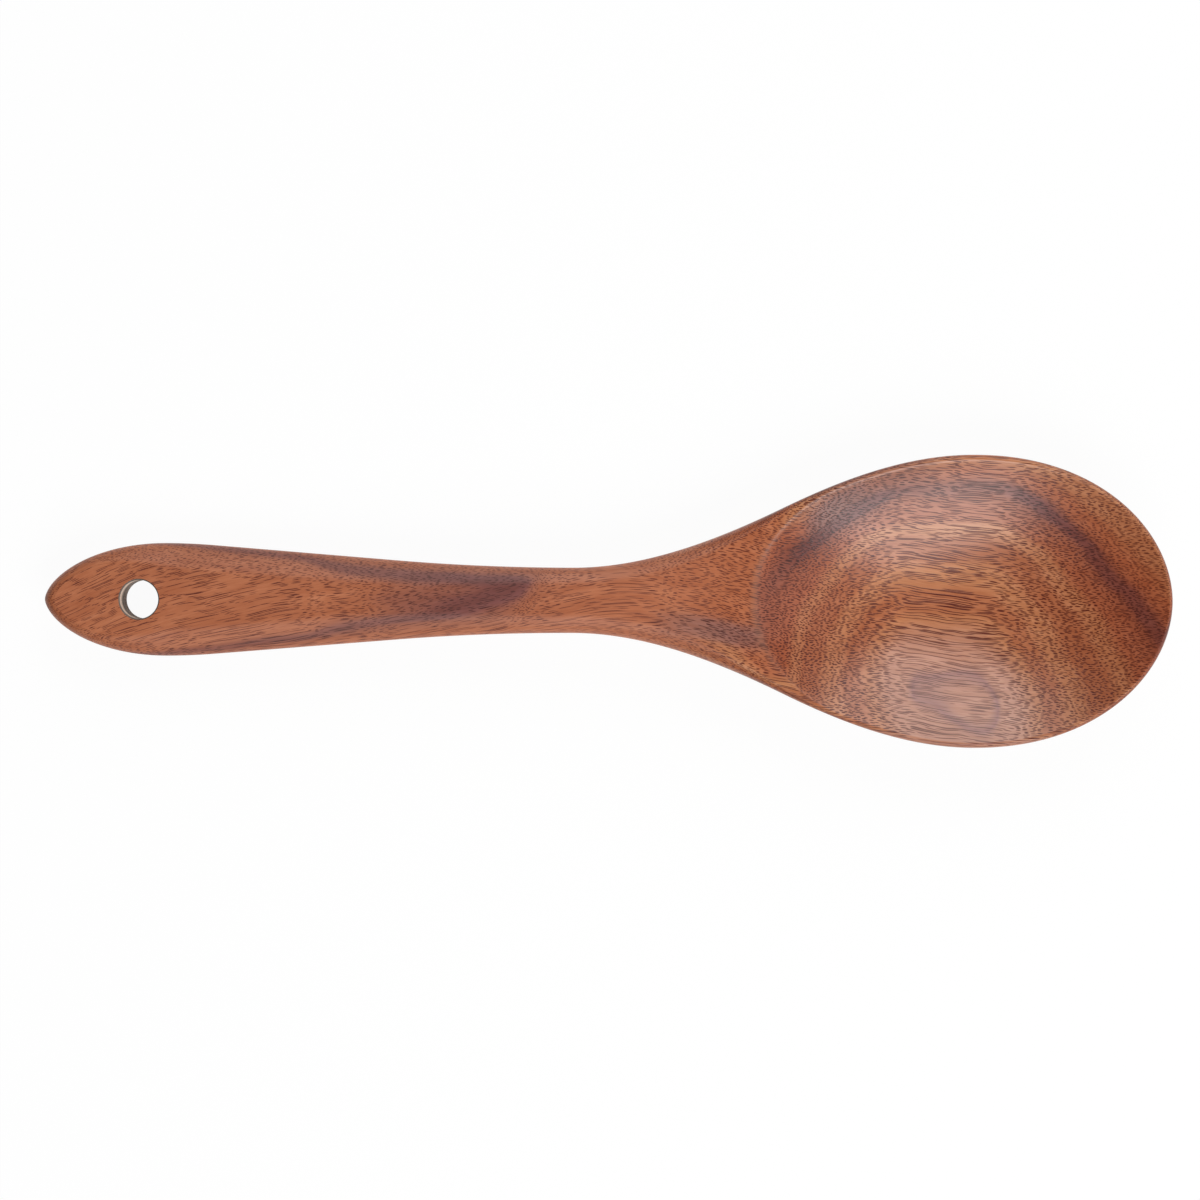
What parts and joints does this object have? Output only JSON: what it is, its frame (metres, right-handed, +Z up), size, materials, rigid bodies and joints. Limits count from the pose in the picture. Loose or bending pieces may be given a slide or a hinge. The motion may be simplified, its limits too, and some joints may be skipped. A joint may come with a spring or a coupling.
{
  "type": "wooden salad spoon",
  "caption": "Long wooden salad spoon with a broad shallow bowl, a slim neck and a flattened handle with a pointed butt and a hanging hole.",
  "frame": {"origin": "bottom centre of the bounding box, on the plane that the spoon rests on", "axes": "+X along the spoon from the butt to the tip of the bowl, +Z up out of the hollow, +Y across"},
  "size_m": [0.28, 0.0726, 0.018],
  "materials": {
    "acacia_wood": "sanded and oiled, satin"
  },
  "bodies": {
    "root": {"spoon": "acacia_wood"}
  },
  "joints": []
}
